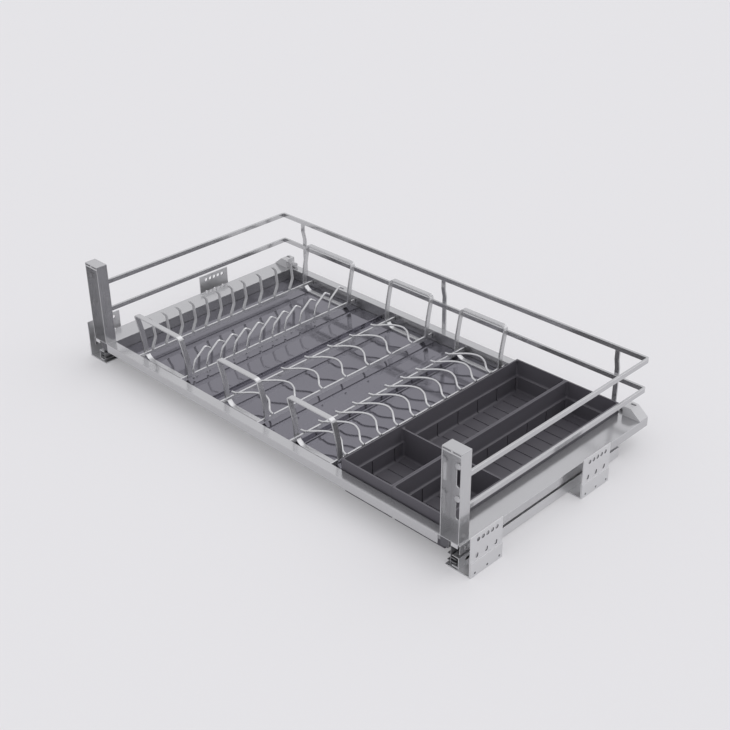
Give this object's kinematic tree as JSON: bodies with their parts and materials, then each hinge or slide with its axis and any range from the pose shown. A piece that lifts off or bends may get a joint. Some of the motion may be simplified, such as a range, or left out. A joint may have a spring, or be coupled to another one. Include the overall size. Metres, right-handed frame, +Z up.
{
  "type": "pull-out dish rack",
  "caption": "Wide pull-out drawer in steel with a wire plate rack, bowl and cup racks, a drip tray, cutlery trays, a two-rail gallery, corner posts and telescopic slides.",
  "frame": {"origin": "bottom centre of the closed rack's box, level with the bracket feet", "axes": "+X to the right-hand cabinet wall, +Y to the back of the cabinet, +Z up; the drawer opens towards -Y"},
  "size_m": [0.864, 0.4382, 0.1843],
  "materials": {
    "satin_steel": "satin",
    "polished_steel": "polished",
    "tinted_steel": "glossy",
    "zinc_steel": "satin",
    "grey_plastic": "matte",
    "light_plastic": "satin"
  },
  "bodies": {
    "cabinet_side": {"cabinet_rail_left": "zinc_steel", "cabinet_rail_right": "zinc_steel", "bracket_plate_front_left": "zinc_steel", "bracket_plate_front_right": "zinc_steel", "bracket_plate_rear_left": "zinc_steel", "bracket_plate_rear_right": "zinc_steel", "bracket_angle_front_left": "zinc_steel", "bracket_angle_front_right": "zinc_steel", "bracket_angle_rear_left": "zinc_steel", "bracket_angle_rear_right": "zinc_steel", "bracket_rivets": "zinc_steel"},
    "drawer": {"tray_pan": "satin_steel", "front_profile": "satin_steel", "rear_profile": "satin_steel", "side_profile_left": "satin_steel", "side_profile_right": "satin_steel", "drawer_rail_left": "zinc_steel", "drawer_rail_right": "zinc_steel", "post_left": "satin_steel", "post_right": "satin_steel", "post_cap_left": "satin_steel", "post_cap_right": "satin_steel", "post_hooks_left": "zinc_steel", "post_hooks_right": "zinc_steel", "upper_rail": "satin_steel", "lower_rail": "satin_steel", "rail_support_left": "satin_steel", "rail_support_centre": "satin_steel", "rail_support_right": "satin_steel", "hook_block_left": "light_plastic", "hook_block_right": "light_plastic", "front_clip_left": "zinc_steel", "front_clip_right": "zinc_steel", "lip_screws": "zinc_steel"},
    "middle_rails": {"middle_rail_left": "zinc_steel", "middle_rail_right": "zinc_steel"},
    "outer_cages": {"outer_cage_left": "zinc_steel", "outer_cage_right": "zinc_steel"},
    "inner_cages": {"inner_cage_left": "zinc_steel", "inner_cage_right": "zinc_steel"},
    "drip_tray": {"drip_tray": "tinted_steel"},
    "plate_rack": {"plate_rack_rod_left": "polished_steel", "plate_rack_rod_right": "polished_steel", "plate_rack_handle_front": "polished_steel", "plate_rack_handle_rear": "polished_steel", "plate_rack_flat_fingers": "light_plastic", "plate_rack_prongs": "polished_steel"},
    "bowl_rack": {"bowl_rack_rod_left": "polished_steel", "bowl_rack_rod_right": "polished_steel", "bowl_rack_handle_front": "polished_steel", "bowl_rack_handle_rear": "polished_steel", "bowl_rack_wires": "polished_steel"},
    "cup_rack": {"cup_rack_rod_left": "polished_steel", "cup_rack_rod_right": "polished_steel", "cup_rack_handle_front": "polished_steel", "cup_rack_handle_rear": "polished_steel", "cup_rack_wires": "polished_steel"},
    "cutlery_tray_left": {"cutlery_tray_left": "grey_plastic"},
    "cutlery_tray_right": {"cutlery_tray_right": "grey_plastic"}
  },
  "joints": [
    {"name": "drawer_slide", "type": "slide", "parent": "cabinet_side", "child": "drawer", "axis": [0, -1, 0], "range_m": [0, 0.35]},
    {"name": "middle_rail_slide", "type": "slide", "parent": "cabinet_side", "child": "middle_rails", "axis": [0, -1, 0], "range_m": [0, 0.175]},
    {"name": "outer_cage_slide", "type": "slide", "parent": "cabinet_side", "child": "outer_cages", "axis": [0, -1, 0], "range_m": [0, 0.0875]},
    {"name": "inner_cage_slide", "type": "slide", "parent": "cabinet_side", "child": "inner_cages", "axis": [0, -1, 0], "range_m": [0, 0.2625]},
    {"name": "drip_tray_lift", "type": "slide", "parent": "drawer", "child": "drip_tray", "axis": [0, 0, 1], "range_m": [0, 0.17]},
    {"name": "plate_rack_lift", "type": "slide", "parent": "drip_tray", "child": "plate_rack", "axis": [0, 0, 1], "range_m": [0, 0.17]},
    {"name": "bowl_rack_lift", "type": "slide", "parent": "drip_tray", "child": "bowl_rack", "axis": [0, 0, 1], "range_m": [0, 0.17]},
    {"name": "cup_rack_lift", "type": "slide", "parent": "drip_tray", "child": "cup_rack", "axis": [0, 0, 1], "range_m": [0, 0.17]},
    {"name": "cutlery_left_lift", "type": "slide", "parent": "drawer", "child": "cutlery_tray_left", "axis": [0, 0, 1], "range_m": [0, 0.17]},
    {"name": "cutlery_right_lift", "type": "slide", "parent": "drawer", "child": "cutlery_tray_right", "axis": [0, 0, 1], "range_m": [0, 0.17]}
  ],
  "couplings": [
    {"joint": "middle_rail_slide", "follows": "drawer_slide", "ratio": 0.5},
    {"joint": "outer_cage_slide", "follows": "drawer_slide", "ratio": 0.25},
    {"joint": "inner_cage_slide", "follows": "drawer_slide", "ratio": 0.75}
  ]
}
